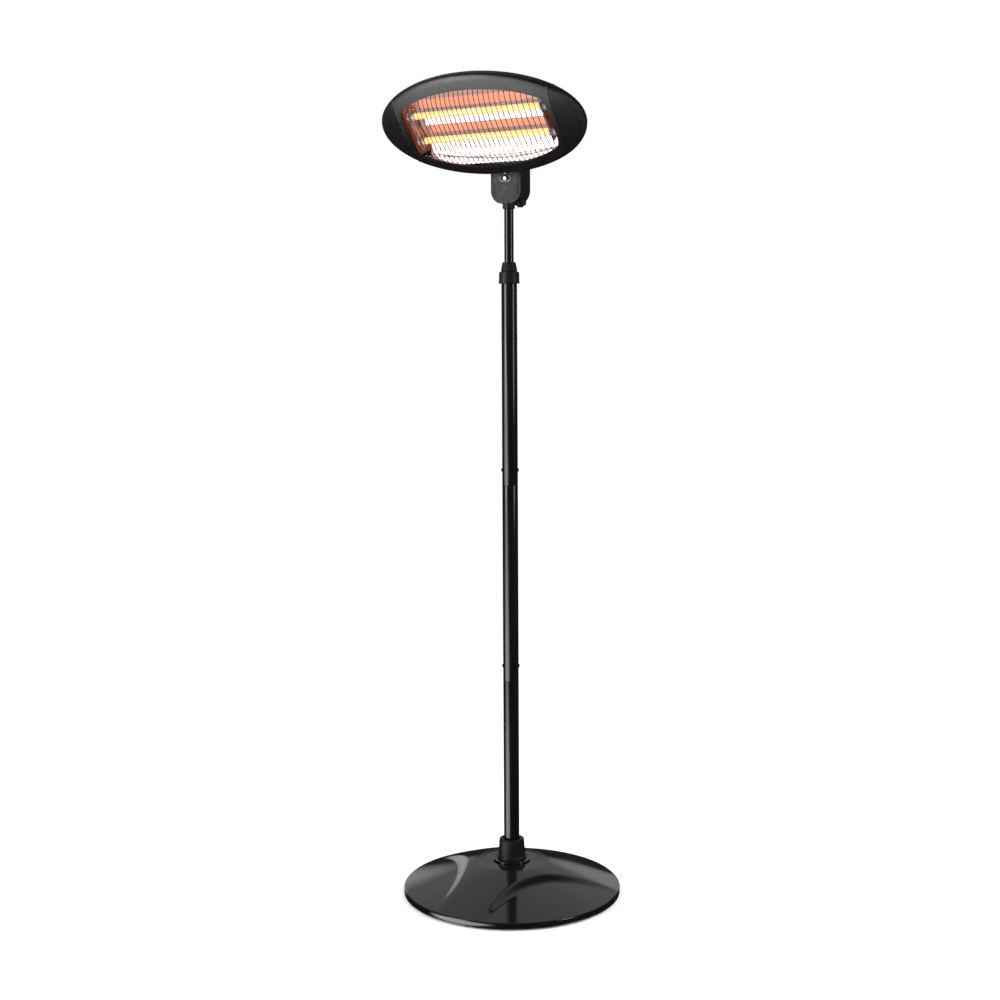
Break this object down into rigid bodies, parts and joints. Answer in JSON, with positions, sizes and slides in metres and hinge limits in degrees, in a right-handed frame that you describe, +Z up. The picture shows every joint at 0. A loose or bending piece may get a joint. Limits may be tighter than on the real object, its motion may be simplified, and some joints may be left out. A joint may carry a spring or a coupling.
{
  "type": "patio heater",
  "caption": "Free-standing electric quartz heater: oval tilting head with two tubes behind a wire guard, telescopic pole and round weighted base.",
  "frame": {"origin": "on the floor at the pole's axis, under the middle of the base", "axes": "+Z up along the pole, -Y the way the head faces, +X to the right of someone looking along +Y at the front"},
  "size_m": [0.5, 0.5, 1.8343],
  "materials": {
    "cover_black": "gloss black paint",
    "pole_black": "gloss black paint",
    "screw_black": "black oxide",
    "plastic_black": "satin moulded black plastic",
    "shell_black": "satin black paint",
    "cast_iron": "rough cast",
    "zinc_steel": "zinc plated",
    "foot_rubber": "matte black rubber",
    "bush_plastic": "natural nylon",
    "switch_plastic": "gloss black plastic",
    "button_chrome": "bright plated",
    "ceramic": null,
    "mirror_aluminium": "polished",
    "quartz_glow": "glowing quartz",
    "coil_glow": "glowing resistance wire",
    "guard_chrome": "bright plated wire"
  },
  "bodies": {
    "base": {"base_cover": "cover_black", "base_weight": "cast_iron", "bottom_plate": "zinc_steel", "rubber_feet": "foot_rubber", "weight_bolts": "zinc_steel", "pole_socket": "pole_black", "base_collar": "plastic_black", "pole_bolt": "zinc_steel", "pole_washer": "zinc_steel", "pole_plug": "zinc_steel", "pole_lower": "pole_black", "pole_middle": "pole_black", "pole_upper": "pole_black", "pole_screws": "screw_black", "collar_body": "plastic_black", "collet": "bush_plastic"},
    "lock": {"lock_nut": "plastic_black"},
    "guide": {"guide_bush": "bush_plastic"},
    "mast": {"retaining_ring": "zinc_steel", "inner_tube": "pole_black", "neck_bush": "plastic_black", "housing_rear": "plastic_black", "housing_front": "plastic_black", "housing_screws": "zinc_steel", "switch_bezel": "switch_plastic", "switch_body": "switch_plastic", "terminal_block": "ceramic", "tip_switch": "switch_plastic", "cable_gland": "plastic_black", "gland_nut": "plastic_black", "tilt_yoke": "screw_black", "yoke_bolts": "zinc_steel", "hinge_bolt": "zinc_steel", "hinge_nut": "zinc_steel", "hinge_washers": "zinc_steel", "housing_grommet": "foot_rubber"},
    "button": {"switch_button": "button_chrome"},
    "head": {"hinge_bracket": "screw_black", "bracket_screws": "zinc_steel", "back_shell": "shell_black", "front_bezel": "shell_black", "bezel_screws": "zinc_steel", "reflector": "mirror_aluminium", "reflector_ends": "mirror_aluminium", "upper_quartz_tube": "quartz_glow", "lower_quartz_tube": "quartz_glow", "heating_coils": "coil_glow", "ceramic_caps": "ceramic", "tube_brackets": "zinc_steel", "guard": "guard_chrome", "ceramic_terminal": "ceramic", "head_grommet": "foot_rubber"}
  },
  "joints": [
    {"name": "lock_turn", "type": "hinge", "parent": "base", "child": "lock", "pos_m": [0, 0, 1.435], "axis": [0, 0, 1], "range_deg": [0, 90]},
    {"name": "height_slide", "type": "slide", "parent": "base", "child": "guide", "axis": [0, 0, 1], "range_m": [-0.1, 0.22]},
    {"name": "mast_swivel", "type": "hinge", "parent": "guide", "child": "mast", "pos_m": [0, 0, 1.5], "axis": [0, 0, 1], "range_deg": [-180, 180]},
    {"name": "button_press", "type": "slide", "parent": "mast", "child": "button", "axis": [0, 1, 0], "range_m": [0, 0.003], "stiffness_N_per_m": 400, "springref_m": -0.001},
    {"name": "head_tilt", "type": "hinge", "parent": "mast", "child": "head", "pos_m": [0, 0.008, 1.676], "axis": [1, 0, 0], "range_deg": [-40, 12]}
  ]
}
